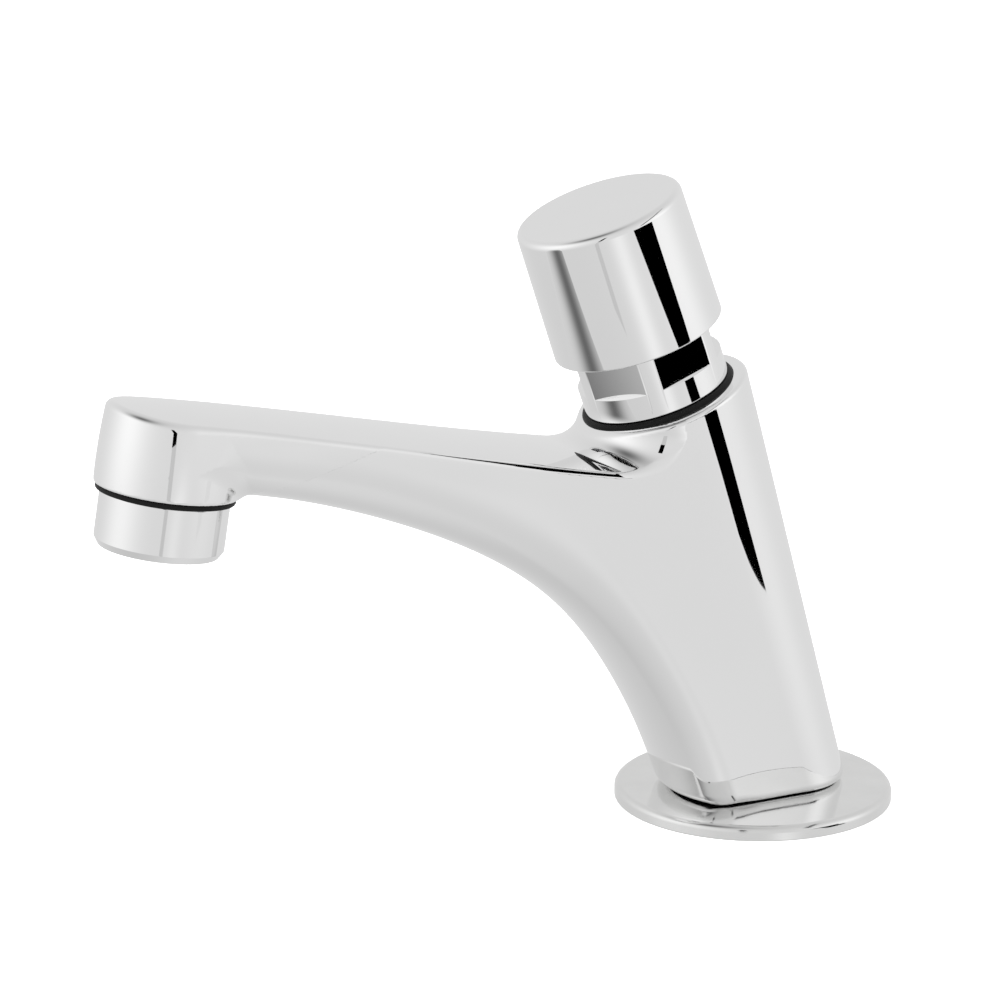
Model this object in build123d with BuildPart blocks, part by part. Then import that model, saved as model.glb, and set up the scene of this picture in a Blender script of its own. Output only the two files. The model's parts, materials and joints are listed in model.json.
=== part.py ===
# Push timed basin tap: a leaning cast body with a spout, a push button over a self-closing valve
# cartridge, a threaded tail through the deck and an aerator under the spout's head.
# Millimetres. The deck is z = 0, +Z is up, the spout points to -Y, and the origin is the centre of
# the flange's underside. The valve axis leans towards the spout.
import os
from math import cos, radians, sin

from build123d import *

os.makedirs("parts", exist_ok=True)

# Driving dimensions
lean_angle = 19.35
axis_foot_y = 7.5
reach = 121.4
outlet_height = 74.9
outlet_tilt = 9.3
rim_rise = 14.2
rim_level = outlet_height + rim_rise
rim_radius = 17.7
foot_radius = 12.1
head_radius = 13.3
stroke = 7.0
overrun = 3.0

# Clearances
seat_gap = 0.05
thread_gap = 0.1
running_gap = 0.08
free_gap = 0.3

# Flange and tail
flange_radius = 27.5
flange_height = 2.9
flange_sheet = 0.9
flange_edge = 1.2
tail_radius = 10.48
tail_bore = 6.5
tail_depth = 52.0
hose_thread_length = 18.0
runout_width = 1.5
runout_depth = 0.6
spigot_radius = 8.4
spigot_length = 9.0
spigot_groove_depth = 1.2
spigot_groove_width = 2.0
filter_pocket_radius = 8.0
filter_pocket_depth = 5.0
filter_wall = 0.8
filter_rim = 2.0
filter_height = 14.0
filter_slots = 8
filter_slot_width = 1.6
gasket_inner_radius = 14.0
gasket_margin = 2.6
gasket_outer_radius = flange_radius - flange_sheet - gasket_margin

# Fixing under the deck
deck_thickness = 18.0
deck_washer_radius = 21.0
deck_washer_thickness = 3.0
clamp_washer_radius = 20.0
clamp_washer_thickness = 1.5
nut_across_flats = 28.0
nut_height = 8.0
nut_chamfer = 1.0

# Body openings
seat_level = 38.0
inlet_chamber_radius = 8.0
inlet_chamber_depth = 15.0
cartridge_bore = 11.8
head_thread_radius = 13.25
head_thread_depth = 12.0
ring_recess_radius = 15.1
ring_recess_depth = 1.2
waterway_radius = 5.0
waterway_level = 67.0
head_cavity_radius = 8.5
head_cavity_depth = 8.0
nose_radius = 10.95
nose_length = 4.6
outlet_gasket_thickness = 1.0

# Cartridge
sleeve_foot_radius = 11.7
sleeve_foot_height = 5.0
sleeve_tube_radius = 9.9
sleeve_bore = 8.5
sleeve_head_radius = 11.3
sleeve_head_length = 14.0
port_height = 9.0
port_margin = 1.0
port_width = 8.0
shelf_thickness = 3.0
breather_radius = 1.1
foot_passage_radius = 6.0
foot_groove_depth = 1.5
foot_groove_width = 2.2
foot_groove_rise = 1.4
seat_ring_radius = 9.0
seat_ring_thickness = 2.5
seat_hole_radius = 5.5
bush_thickness = 4.0
bush_wall = 0.75
timing_pin_radius = 0.5
timing_pin_offset = 5.3

# Stem, piston and valve
stem_radius = 4.0
spindle_radius = 2.4
stem_neck_radius = 3.0
piston_radius = 8.2
piston_height = 6.0
piston_groove_depth = 1.7
piston_groove_share = 0.5
lip_thickness = 0.8
clip_thickness = 0.9
clip_width = 1.9
spring_radius = 7.0
spring_wire_radius = 0.55
spring_turns = 7
valve_cup_radius = 7.3
valve_cup_wall = 0.75
valve_cup_floor = 1.6
valve_washer_thickness = 2.4
valve_washer_proud = 0.6
valve_nut_across_flats = 8.0
valve_nut_height = 2.6

# Bonnet
bonnet_ring_radius = 0.95
collar_radius = 14.2
collar_height = 13.5
collar_rim_height = 5.0
collar_flat_radius = 12.97
collar_neck_radius = 12.9
collar_neck_height = 2.5
bonnet_floor = 4.0
bonnet_cup_radius = 9.6
spanner_flats = 6

# Button
button_low_radius = 16.56
button_top_radius = 16.1
button_wall = 1.6
button_top_wall = 2.2
button_rise = 13.0
button_level = rim_level + button_rise
button_height = 26.3
button_edge = 1.3
insert_rise = 12.1
insert_level = button_level + insert_rise
insert_hub_radius = 7.5
insert_plate = 2.6
insert_seat_depth = 6.4
insert_seat_step = 1.0
button_ring_width = 1.6
button_ring_thickness = 1.0
button_ring_groove = 0.35

# Aerator
housing_radius = 12.0
housing_height = 10.25
housing_chamfer = 1.4
housing_chamfer_in = 0.9
housing_ledge_radius = 9.5
outlet_gasket_radius = 12.9
spout_washer_thickness = 1.2
insert_flange = 1.6
insert_wall = 0.7
insert_grid = 1.2
insert_recess = 0.35
grid_hole_radius = 0.8
grid_pitch_share = 2.5
screen_thickness = 0.4
regulator_thickness = 1.7
regulator_slot_radius = 5.0
regulator_slot_width = 1.0
regulator_pin_radius = 1.6

# The arm: sections square to the arch line under the spout, from the foot to the head. Each row
# holds the apex forward (share of the reach) and up (share of the outlet height), the section's tilt
# in degrees, then shares of the head's radius: half width at the belly's corner, half width at the
# top, the belly's rise and the corner's rounding. The last share is the section's depth, of the reach.
arm_shares = (
    (0.138, -0.040, 8.0, 1.01, 0.80, 0.33, 0.23, 0.200),
    (0.203, 0.234, 24.0, 1.05, 0.90, 0.30, 0.28, 0.200),
    (0.260, 0.414, 35.0, 1.09, 1.00, 0.27, 0.32, 0.220),
    (0.338, 0.571, 47.5, 1.13, 1.10, 0.30, 0.32, 0.280),
    (0.433, 0.700, 55.0, 1.13, 1.17, 0.40, 0.28, 0.280),
    (0.573, 0.825, 65.0, 1.09, 1.12, 0.60, 0.19, 0.198),
    (0.741, 0.928, 72.0, 1.05, 1.06, 0.66, 0.15, 0.173),
    (0.869, 0.983, 84.0, 1.01, 1.01, 0.65, 0.15, 0.165),
    (0.972, 1.004, 90.0, 0.96, 0.96, 0.53, 0.15, 0.165),
)

# The top of the spout along its centre line: forward (share of the reach), up (share of the outlet
# height). It is crowned across.
top_shares = (
    (-0.10, 0.945),
    (0.20, 0.980),
    (0.35, 1.018),
    (0.50, 1.065),
    (0.70, 1.132),
    (0.89, 1.194),
    (1.15, 1.268),
)
top_crown_radius = 70.0
top_half_width = 20.0

lean = radians(lean_angle)
tilt = radians(outlet_tilt)
valve_foot = (0, axis_foot_y, 0)
valve_direction = (0, -sin(lean), cos(lean))
valve_axis = Axis(valve_foot, valve_direction)
valve_section = Plane(origin=valve_foot, x_dir=(1, 0, 0), z_dir=(0, -cos(lean), -sin(lean)))
outlet_centre = (0, -reach, outlet_height)
outlet_direction = (0, sin(tilt), cos(tilt))
outlet_axis = Axis(outlet_centre, outlet_direction)
outlet_section = Plane(origin=outlet_centre, x_dir=(1, 0, 0), z_dir=(0, -cos(tilt), sin(tilt)))
tail_section = Plane.XZ


def valve_plane(level):
    """A plane square to the valve axis, level along the axis from its foot on the deck."""
    return Plane(
        origin=(0, axis_foot_y - level * sin(lean), level * cos(lean)),
        x_dir=(1, 0, 0),
        z_dir=valve_direction,
    )


def outlet_plane(level):
    """A plane square to the outlet's axis, level above the aerator's top."""
    return Plane(
        origin=(0, -reach + level * sin(tilt), outlet_height + level * cos(tilt)),
        x_dir=(1, 0, 0),
        z_dir=outlet_direction,
    )


def outline(section, *corners):
    """A closed outline in a section plane, where a corner is a radius and a level."""
    with BuildSketch(section) as sketch:
        with BuildLine():
            Polyline(*corners, close=True)
        make_face()
    return sketch.sketch


def band(section, inner, outer, low, high):
    """The section of a plain ring or rod."""
    return outline(section, (inner, low), (outer, low), (outer, high), (inner, high))


def finish(builder, label):
    """Names a finished piece and writes it."""
    builder.part.label = label
    export_step(builder.part, f"parts/{label}.step")


# Body: the arm's sections, the top surface that trims them, the column and the head
def arm_face(row):
    """One section of the arm: a bowed belly, rounded corners, straight sides and a flat top."""
    forward, up, angle, low_half, top_half, rise, rounding, depth = row
    facing = radians(angle)
    belly_rise = rise * head_radius
    corner_half = low_half * head_radius
    top_corner = (top_half * head_radius, depth * reach)
    plane = Plane(
        origin=(0, -forward * reach, up * outlet_height),
        x_dir=(1, 0, 0),
        z_dir=(0, -sin(facing), cos(facing)),
    )
    with BuildSketch(plane) as sketch:
        with BuildLine():
            ThreePointArc((-corner_half, belly_rise), (0, 0), (corner_half, belly_rise))
            Polyline(
                (corner_half, belly_rise),
                top_corner,
                (-top_corner[0], top_corner[1]),
                (-corner_half, belly_rise),
            )
        make_face()
        fillet(sketch.vertices().group_by(Axis.Y)[0], radius=rounding * head_radius)
    return sketch.sketch


def top_face(row):
    """A slice across the spout whose upper edge is the crowned top."""
    forward, up = row
    plane = Plane(origin=(0, -forward * reach, 0), x_dir=(1, 0, 0), z_dir=(0, -1, 0))
    centre_height = up * outlet_height
    drop = top_half_width**2 / (2 * top_crown_radius)
    floor = -outlet_height
    with BuildSketch(plane) as sketch:
        with BuildLine():
            ThreePointArc(
                (-top_half_width, centre_height - drop),
                (0, centre_height),
                (top_half_width, centre_height - drop),
            )
            Polyline(
                (top_half_width, centre_height - drop),
                (top_half_width, floor),
                (-top_half_width, floor),
                (-top_half_width, centre_height - drop),
            )
        make_face()
    return sketch.sketch


head_low = outlet_gasket_thickness
head_high = head_low + 2 * head_radius

with BuildPart() as arm:
    loft([arm_face(row) for row in arm_shares])

with BuildPart() as top_limit:
    loft([top_face(row) for row in top_shares])

with BuildPart() as tap_body:
    add(arm.part)
    revolve(band(outlet_section, 0, head_radius, head_low, head_high), axis=outlet_axis)
    add(top_limit.part, mode=Mode.INTERSECT)
    column_low = -2 * axis_foot_y
    column_slope = (rim_radius - foot_radius) / rim_level
    column_low_radius = foot_radius + column_low * column_slope
    revolve(
        outline(
            valve_section,
            (0, column_low),
            (column_low_radius, column_low),
            (rim_radius, rim_level),
            (0, rim_level),
        ),
        axis=valve_axis,
    )
    split(bisect_by=Plane.XY.offset(flange_height), keep=Keep.TOP)
    revolve(band(outlet_section, 0, nose_radius, -nose_length, head_low + overrun), axis=outlet_axis)
    # the stepped bore for the cartridge
    thread_level = rim_level - head_thread_depth
    recess_level = rim_level - ring_recess_depth
    revolve(
        outline(
            valve_section,
            (0, seat_level - inlet_chamber_depth),
            (inlet_chamber_radius, seat_level - inlet_chamber_depth),
            (inlet_chamber_radius, seat_level),
            (cartridge_bore, seat_level),
            (cartridge_bore, thread_level),
            (head_thread_radius, thread_level),
            (head_thread_radius, recess_level),
            (ring_recess_radius, recess_level),
            (ring_recess_radius, rim_level + overrun),
            (0, rim_level + overrun),
        ),
        axis=valve_axis,
        mode=Mode.SUBTRACT,
    )
    # the tail's socket and the inlet above it
    socket_top = flange_height + spigot_length
    inlet_top = (seat_level - inlet_chamber_depth) * cos(lean)
    revolve(
        outline(
            tail_section,
            (0, 0),
            (spigot_radius + thread_gap, 0),
            (spigot_radius + thread_gap, socket_top),
            (tail_bore, socket_top),
            (tail_bore, inlet_top),
            (0, inlet_top),
        ),
        axis=Axis.Z,
        mode=Mode.SUBTRACT,
    )
    # the waterway along the spout, and the cavity in the head
    low_end = valve_plane(waterway_level).origin
    high_end = outlet_plane(head_cavity_depth).origin
    with BuildSketch(Plane(origin=low_end, z_dir=high_end - low_end)):
        Circle(waterway_radius)
    extrude(amount=(high_end - low_end).length, mode=Mode.SUBTRACT)
    revolve(
        band(outlet_section, 0, head_cavity_radius, -nose_length - overrun, head_cavity_depth),
        axis=outlet_axis,
        mode=Mode.SUBTRACT,
    )
finish(tap_body, "tap_body")

# Flange and tail
with BuildPart() as base_flange:
    hole = tail_radius + thread_gap
    revolve(
        outline(
            tail_section,
            (hole, flange_height - flange_sheet),
            (hole, flange_height),
            (flange_radius, flange_height),
            (flange_radius, 0),
            (flange_radius - flange_sheet, 0),
            (flange_radius - flange_sheet, flange_height - flange_sheet),
        ),
        axis=Axis.Z,
    )
    top_rim = base_flange.edges().filter_by(GeomType.CIRCLE).group_by(Axis.Z)[-1].sort_by(SortBy.RADIUS)[-1]
    fillet(top_rim, radius=min(flange_edge, flange_height - flange_sheet))
finish(base_flange, "base_flange")

with BuildPart() as flange_gasket:
    revolve(
        band(tail_section, gasket_inner_radius, gasket_outer_radius, 0, flange_height - flange_sheet),
        axis=Axis.Z,
    )
finish(flange_gasket, "flange_gasket")

with BuildPart() as inlet_shank:
    groove_low = flange_height + (spigot_length - spigot_groove_width) / 2
    groove_high = groove_low + spigot_groove_width
    groove_floor = spigot_radius - spigot_groove_depth
    # the hose's thread ends in a run-out groove under the back nut
    runout_low = -tail_depth + hose_thread_length
    revolve(
        outline(
            tail_section,
            (filter_pocket_radius, -tail_depth),
            (tail_radius, -tail_depth),
            (tail_radius, runout_low),
            (tail_radius - runout_depth, runout_low),
            (tail_radius - runout_depth, runout_low + runout_width),
            (tail_radius, runout_low + runout_width),
            (tail_radius, flange_height),
            (spigot_radius, flange_height),
            (spigot_radius, groove_low),
            (groove_floor, groove_low),
            (groove_floor, groove_high),
            (spigot_radius, groove_high),
            (spigot_radius, flange_height + spigot_length),
            (tail_bore, flange_height + spigot_length),
            (tail_bore, -tail_depth + filter_pocket_depth),
            (filter_pocket_radius, -tail_depth + filter_pocket_depth),
        ),
        axis=Axis.Z,
    )
finish(inlet_shank, "inlet_shank")

with BuildPart() as shank_oring:
    revolve(
        band(
            tail_section,
            groove_floor + seat_gap,
            spigot_radius + thread_gap - seat_gap,
            groove_low + seat_gap,
            groove_high - seat_gap,
        ),
        axis=Axis.Z,
    )
finish(shank_oring, "shank_oring")

with BuildPart() as inlet_filter:
    thimble_radius = tail_bore - free_gap
    pocket_floor = -tail_depth + filter_pocket_depth
    revolve(
        outline(
            tail_section,
            (thimble_radius - filter_wall, pocket_floor - filter_rim),
            (filter_pocket_radius - seat_gap, pocket_floor - filter_rim),
            (filter_pocket_radius - seat_gap, pocket_floor),
            (thimble_radius, pocket_floor),
            (thimble_radius, pocket_floor + filter_height),
            (0, pocket_floor + filter_height),
            (0, pocket_floor + filter_height - filter_wall),
            (thimble_radius - filter_wall, pocket_floor + filter_height - filter_wall),
        ),
        axis=Axis.Z,
    )
    # slots in the thimble
    with BuildSketch(Plane.XY.offset(pocket_floor + filter_rim)):
        with PolarLocations(thimble_radius, filter_slots):
            Rectangle(2 * filter_rim, filter_slot_width)
    extrude(amount=filter_height - 2 * filter_rim, mode=Mode.SUBTRACT)
finish(inlet_filter, "inlet_filter")

# Fixing under the deck
with BuildPart() as deck_washer:
    washer_top = -deck_thickness
    revolve(
        band(
            tail_section,
            tail_radius + thread_gap,
            deck_washer_radius,
            washer_top - deck_washer_thickness,
            washer_top,
        ),
        axis=Axis.Z,
    )
finish(deck_washer, "deck_washer")

with BuildPart() as clamp_washer:
    clamp_top = washer_top - deck_washer_thickness
    revolve(
        band(
            tail_section,
            tail_radius + thread_gap,
            clamp_washer_radius,
            clamp_top - clamp_washer_thickness,
            clamp_top,
        ),
        axis=Axis.Z,
    )
finish(clamp_washer, "clamp_washer")

with BuildPart() as back_nut:
    nut_top = clamp_top - clamp_washer_thickness
    with BuildSketch(Plane.XY.offset(nut_top)):
        RegularPolygon(nut_across_flats / 2, spanner_flats, major_radius=False)
        Circle(tail_radius + seat_gap, mode=Mode.SUBTRACT)
    extrude(amount=-nut_height)
    # turned chamfers on both ends of the hexagon
    corner_radius = nut_across_flats / 2 / cos(radians(180 / spanner_flats))
    nut_low = nut_top - nut_height
    revolve(
        outline(
            tail_section,
            (tail_radius, nut_low),
            (corner_radius - nut_chamfer, nut_low),
            (corner_radius + seat_gap, nut_low + nut_chamfer),
            (corner_radius + seat_gap, nut_top - nut_chamfer),
            (corner_radius - nut_chamfer, nut_top),
            (tail_radius, nut_top),
        ),
        axis=Axis.Z,
        mode=Mode.INTERSECT,
    )
finish(back_nut, "back_nut")

# Cartridge: levels along the valve axis
foot_top = seat_level + sleeve_foot_height
port_top = foot_top + port_height
shelf_top = port_top + shelf_thickness
collar_level = rim_level - ring_recess_depth + 2 * bonnet_ring_radius + 2 * seat_gap
sleeve_top = rim_level - ring_recess_depth
bush_level = sleeve_top - bush_thickness
piston_top = bush_level - free_gap
piston_low = piston_top - piston_height

with BuildPart() as seat_ring:
    revolve(
        band(
            valve_section, seat_hole_radius, seat_ring_radius, seat_level, seat_level + seat_ring_thickness
        ),
        axis=valve_axis,
    )
finish(seat_ring, "seat_ring")

with BuildPart() as cartridge_sleeve:
    foot_groove_low = seat_level + foot_groove_rise
    foot_groove_high = foot_groove_low + foot_groove_width
    foot_groove_floor = sleeve_foot_radius - foot_groove_depth
    seat_pocket = seat_ring_radius + seat_gap
    bush_pocket = sleeve_bore + bush_wall
    revolve(
        outline(
            valve_section,
            (seat_pocket, seat_level),
            (sleeve_foot_radius, seat_level),
            (sleeve_foot_radius, foot_groove_low),
            (foot_groove_floor, foot_groove_low),
            (foot_groove_floor, foot_groove_high),
            (sleeve_foot_radius, foot_groove_high),
            (sleeve_foot_radius, foot_top),
            (sleeve_tube_radius, foot_top),
            (sleeve_tube_radius, sleeve_top - sleeve_head_length),
            (sleeve_head_radius, sleeve_top - sleeve_head_length),
            (sleeve_head_radius, sleeve_top),
            (bush_pocket, sleeve_top),
            (bush_pocket, bush_level),
            (sleeve_bore, bush_level),
            (sleeve_bore, shelf_top),
            (spindle_radius + running_gap, shelf_top),
            (spindle_radius + running_gap, port_top),
            (sleeve_bore, port_top),
            (sleeve_bore, foot_top),
            (foot_passage_radius, foot_top),
            (foot_passage_radius, seat_level + seat_ring_thickness),
            (seat_pocket, seat_level + seat_ring_thickness),
        ),
        axis=valve_axis,
    )
    # outlet windows above the seat
    with BuildSketch(valve_plane(foot_top + port_margin)):
        with PolarLocations(sleeve_tube_radius, 4):
            Rectangle(sleeve_tube_radius, port_width)
    extrude(amount=port_height - 2 * port_margin, mode=Mode.SUBTRACT)
    # breather holes in the shelf
    with BuildSketch(valve_plane(port_top)):
        with PolarLocations((sleeve_bore + spindle_radius) / 2, 4, start_angle=45):
            Circle(breather_radius)
    extrude(amount=shelf_thickness, mode=Mode.SUBTRACT)
finish(cartridge_sleeve, "cartridge_sleeve")

with BuildPart() as sleeve_oring:
    revolve(
        band(
            valve_section,
            foot_groove_floor + seat_gap,
            cartridge_bore - seat_gap,
            foot_groove_low + seat_gap,
            foot_groove_high - seat_gap,
        ),
        axis=valve_axis,
    )
finish(sleeve_oring, "sleeve_oring")

with BuildPart() as guide_bush:
    seal_pocket_depth = bush_thickness / 2
    seal_pocket_radius = (stem_radius + sleeve_bore) / 2
    revolve(
        outline(
            valve_section,
            (stem_radius + running_gap, bush_level),
            (bush_pocket - seat_gap, bush_level),
            (bush_pocket - seat_gap, sleeve_top),
            (seal_pocket_radius, sleeve_top),
            (seal_pocket_radius, sleeve_top - seal_pocket_depth),
            (stem_radius + running_gap, sleeve_top - seal_pocket_depth),
        ),
        axis=valve_axis,
    )
    with BuildSketch(valve_plane(bush_level)):
        with Locations((0, timing_pin_offset)):
            Circle(timing_pin_radius)
    extrude(amount=seal_pocket_depth / 2, mode=Mode.SUBTRACT)
finish(guide_bush, "guide_bush")

with BuildPart() as timing_pin:
    pin_reach = bush_thickness / 2 / 2 + free_gap + piston_height + stroke
    with BuildSketch(valve_plane(bush_level + seal_pocket_depth / 2 - pin_reach)):
        with Locations((0, timing_pin_offset)):
            Circle(timing_pin_radius)
    extrude(amount=pin_reach)
finish(timing_pin, "timing_pin")

with BuildPart() as stem_seal:
    revolve(
        band(
            valve_section,
            stem_radius + running_gap,
            seal_pocket_radius - seat_gap,
            sleeve_top - seal_pocket_depth + seat_gap,
            sleeve_top - seat_gap,
        ),
        axis=valve_axis,
    )
finish(stem_seal, "stem_seal")

# Bonnet: threaded skirt, floor, and a collar with spanner flats
with BuildPart() as bonnet:
    skirt_radius = head_thread_radius - thread_gap
    skirt_low = rim_level - head_thread_depth + thread_gap
    collar_top = collar_level + collar_height
    neck_top = collar_top + collar_neck_height
    bonnet_floor_top = sleeve_top + bonnet_floor
    revolve(
        outline(
            valve_section,
            (sleeve_head_radius + seat_gap, skirt_low),
            (skirt_radius, skirt_low),
            (skirt_radius, collar_level),
            (collar_radius, collar_level),
            (collar_radius, collar_top),
            (collar_neck_radius, collar_top),
            (collar_neck_radius, neck_top),
            (bonnet_cup_radius, neck_top),
            (bonnet_cup_radius, bonnet_floor_top),
            (stem_radius + running_gap, bonnet_floor_top),
            (stem_radius + running_gap, sleeve_top),
            (sleeve_head_radius + seat_gap, sleeve_top),
        ),
        axis=valve_axis,
    )
    # milled flats, which leave a round rim below and round lands between them
    flat_half_width = (collar_radius**2 - collar_flat_radius**2) ** 0.5
    with BuildSketch(valve_plane(collar_level + collar_rim_height)):
        with PolarLocations(collar_flat_radius, spanner_flats, start_angle=360 / spanner_flats / 4):
            Rectangle(2 * overrun, 2 * flat_half_width, align=(Align.MIN, Align.CENTER))
    extrude(amount=collar_height - collar_rim_height, mode=Mode.SUBTRACT)
finish(bonnet, "bonnet")

with BuildPart() as bonnet_oring:
    ring_centre = skirt_radius + bonnet_ring_radius + seat_gap
    with BuildSketch(valve_section):
        with Locations((ring_centre, recess_level + bonnet_ring_radius + seat_gap)):
            Circle(bonnet_ring_radius)
    revolve(axis=valve_axis)
finish(bonnet_oring, "bonnet_oring")

# Moving stack: stem, piston, seal, valve and button
valve_washer_low = seat_level - valve_washer_thickness
valve_cup_low = valve_washer_low - valve_cup_floor
valve_nut_low = valve_cup_low - valve_nut_height
neck_level = insert_level + insert_plate
stem_clip_level = neck_level + insert_plate
button_ceiling = button_level + button_height - button_top_wall
insert_seat = button_ceiling - insert_seat_depth
piston_clip_low = piston_low - clip_thickness
lip_low = piston_low + piston_height * (1 - piston_groove_share) / 2
lip_high = piston_top - piston_height * (1 - piston_groove_share) / 2
lip_floor = piston_radius - piston_groove_depth

with BuildPart() as stem:
    neck_groove = stem_neck_radius - clip_thickness / 2
    spindle_groove = spindle_radius - clip_thickness / 2
    revolve(
        outline(
            valve_section,
            (0, valve_nut_low),
            (spindle_radius, valve_nut_low),
            (spindle_radius, piston_clip_low),
            (spindle_groove, piston_clip_low),
            (spindle_groove, piston_low),
            (spindle_radius, piston_low),
            (spindle_radius, piston_top),
            (stem_radius, piston_top),
            (stem_radius, neck_level),
            (stem_neck_radius, neck_level),
            (stem_neck_radius, stem_clip_level),
            (neck_groove, stem_clip_level),
            (neck_groove, stem_clip_level + clip_thickness),
            (stem_neck_radius, stem_clip_level + clip_thickness),
            (stem_neck_radius, stem_clip_level + 2 * clip_thickness),
            (0, stem_clip_level + 2 * clip_thickness),
        ),
        axis=valve_axis,
    )
finish(stem, "stem")

with BuildPart() as piston:
    revolve(
        outline(
            valve_section,
            (spindle_radius + seat_gap, piston_low),
            (piston_radius, piston_low),
            (piston_radius, lip_low),
            (lip_floor, lip_low),
            (lip_floor, lip_high),
            (piston_radius, lip_high),
            (piston_radius, piston_top),
            (spindle_radius + seat_gap, piston_top),
        ),
        axis=valve_axis,
    )
    # the bleed hole that the timing pin keeps clear
    with BuildSketch(valve_plane(piston_low)):
        with Locations((0, timing_pin_offset)):
            Circle(timing_pin_radius + running_gap)
    extrude(amount=piston_height, mode=Mode.SUBTRACT)
finish(piston, "piston")

with BuildPart() as lip_seal:
    lip_radius = sleeve_bore - running_gap
    revolve(
        outline(
            valve_section,
            (lip_floor + seat_gap, lip_low + seat_gap),
            (lip_radius - lip_thickness, lip_low + seat_gap),
            (lip_radius, lip_high - seat_gap),
            (lip_radius - lip_thickness, lip_high - seat_gap),
            (lip_floor + lip_thickness, lip_low + lip_thickness),
            (lip_floor + lip_thickness, lip_high - seat_gap),
            (lip_floor + seat_gap, lip_high - seat_gap),
        ),
        axis=valve_axis,
    )
finish(lip_seal, "lip_seal")


def clip_ring(level, shaft_radius, label):
    """A snap ring in a groove of the stem, open on one side."""
    inner = shaft_radius - clip_thickness / 2 + seat_gap
    with BuildPart() as clip:
        with BuildSketch(valve_plane(level)):
            Circle(shaft_radius + clip_width)
            Circle(inner, mode=Mode.SUBTRACT)
            Rectangle(
                2 * shaft_radius,
                clip_width,
                align=(Align.MIN, Align.CENTER),
                mode=Mode.SUBTRACT,
            )
        extrude(amount=clip_thickness)
    finish(clip, label)


clip_ring(piston_clip_low, spindle_radius, "piston_clip")
clip_ring(stem_clip_level, stem_neck_radius, "stem_clip")

# Return spring: one wire wound between the shelf and the piston
with BuildPart() as return_spring:
    spring_low = shelf_top + spring_wire_radius
    spring_length = piston_low - shelf_top - 2 * spring_wire_radius
    coil = Helix(
        pitch=spring_length / spring_turns,
        height=spring_length,
        radius=spring_radius,
        center=valve_plane(spring_low).origin,
        direction=valve_direction,
    )
    with BuildSketch(Plane(origin=coil @ 0, z_dir=coil % 0)):
        Circle(spring_wire_radius)
    sweep(path=coil, is_frenet=True)
finish(return_spring, "return_spring")

with BuildPart() as valve_cup:
    cup_rim_level = seat_level - valve_washer_proud
    washer_pocket = valve_cup_radius - valve_cup_wall
    revolve(
        outline(
            valve_section,
            (spindle_radius + seat_gap, valve_cup_low),
            (valve_cup_radius, valve_cup_low),
            (valve_cup_radius, cup_rim_level),
            (washer_pocket, cup_rim_level),
            (washer_pocket, valve_washer_low),
            (spindle_radius + seat_gap, valve_washer_low),
        ),
        axis=valve_axis,
    )
finish(valve_cup, "valve_cup")

with BuildPart() as valve_washer:
    revolve(
        band(
            valve_section,
            spindle_radius + seat_gap,
            washer_pocket - seat_gap,
            valve_washer_low,
            seat_level,
        ),
        axis=valve_axis,
    )
finish(valve_washer, "valve_washer")

with BuildPart() as valve_nut:
    with BuildSketch(valve_plane(valve_nut_low)):
        RegularPolygon(valve_nut_across_flats / 2, spanner_flats, major_radius=False)
        Circle(spindle_radius + seat_gap, mode=Mode.SUBTRACT)
    extrude(amount=valve_nut_height)
finish(valve_nut, "valve_nut")

with BuildPart() as push_button:
    seat_radius = button_low_radius - button_wall
    ring_groove = seat_radius + button_ring_groove
    ring_high = insert_seat - insert_plate
    ring_low = ring_high - button_ring_thickness
    revolve(
        outline(
            valve_section,
            (seat_radius, button_level),
            (button_low_radius, button_level),
            (button_top_radius, button_level + button_height),
            (0, button_level + button_height),
            (0, button_ceiling),
            (seat_radius - insert_seat_step, button_ceiling),
            (seat_radius - insert_seat_step, insert_seat),
            (seat_radius, insert_seat),
            (seat_radius, ring_high),
            (ring_groove, ring_high),
            (ring_groove, ring_low),
            (seat_radius, ring_low),
        ),
        axis=valve_axis,
    )
    round_edges = push_button.edges().filter_by(GeomType.CIRCLE)
    top_edge = round_edges.sort_by(valve_axis)[-1]
    fillet(top_edge, radius=min(button_edge, button_top_wall / 2))
finish(push_button, "push_button")

with BuildPart() as button_insert:
    insert_radius = seat_radius - seat_gap
    clip_pocket = stem_neck_radius + clip_width + seat_gap
    revolve(
        outline(
            valve_section,
            (stem_radius + seat_gap, insert_level),
            (insert_hub_radius, insert_level),
            (insert_hub_radius, ring_high),
            (insert_radius, ring_high),
            (insert_radius, insert_seat),
            (clip_pocket, insert_seat),
            (clip_pocket, stem_clip_level),
            (stem_neck_radius + seat_gap, stem_clip_level),
            (stem_neck_radius + seat_gap, neck_level),
            (stem_radius + seat_gap, neck_level),
        ),
        axis=valve_axis,
    )
finish(button_insert, "button_insert")

with BuildPart() as button_ring:
    with BuildSketch(valve_plane(ring_low)):
        Circle(ring_groove - seat_gap)
        Circle(ring_groove - button_ring_width, mode=Mode.SUBTRACT)
        Rectangle(
            2 * ring_groove,
            2 * button_ring_width,
            align=(Align.MIN, Align.CENTER),
            mode=Mode.SUBTRACT,
        )
    extrude(amount=button_ring_thickness)
finish(button_ring, "button_ring")

# Outlet: gasket, housing and what it holds
washer_low = -nose_length - spout_washer_thickness
flange_low = washer_low - insert_flange
thread_radius = nose_radius + thread_gap
insert_low = -housing_height + insert_recess
insert_outer = housing_ledge_radius - seat_gap
insert_inner = insert_outer - insert_wall
grid_top = insert_low + insert_grid

with BuildPart() as aerator_gasket:
    revolve(
        band(outlet_section, thread_radius, outlet_gasket_radius, 0, outlet_gasket_thickness),
        axis=outlet_axis,
    )
finish(aerator_gasket, "aerator_gasket")

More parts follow.
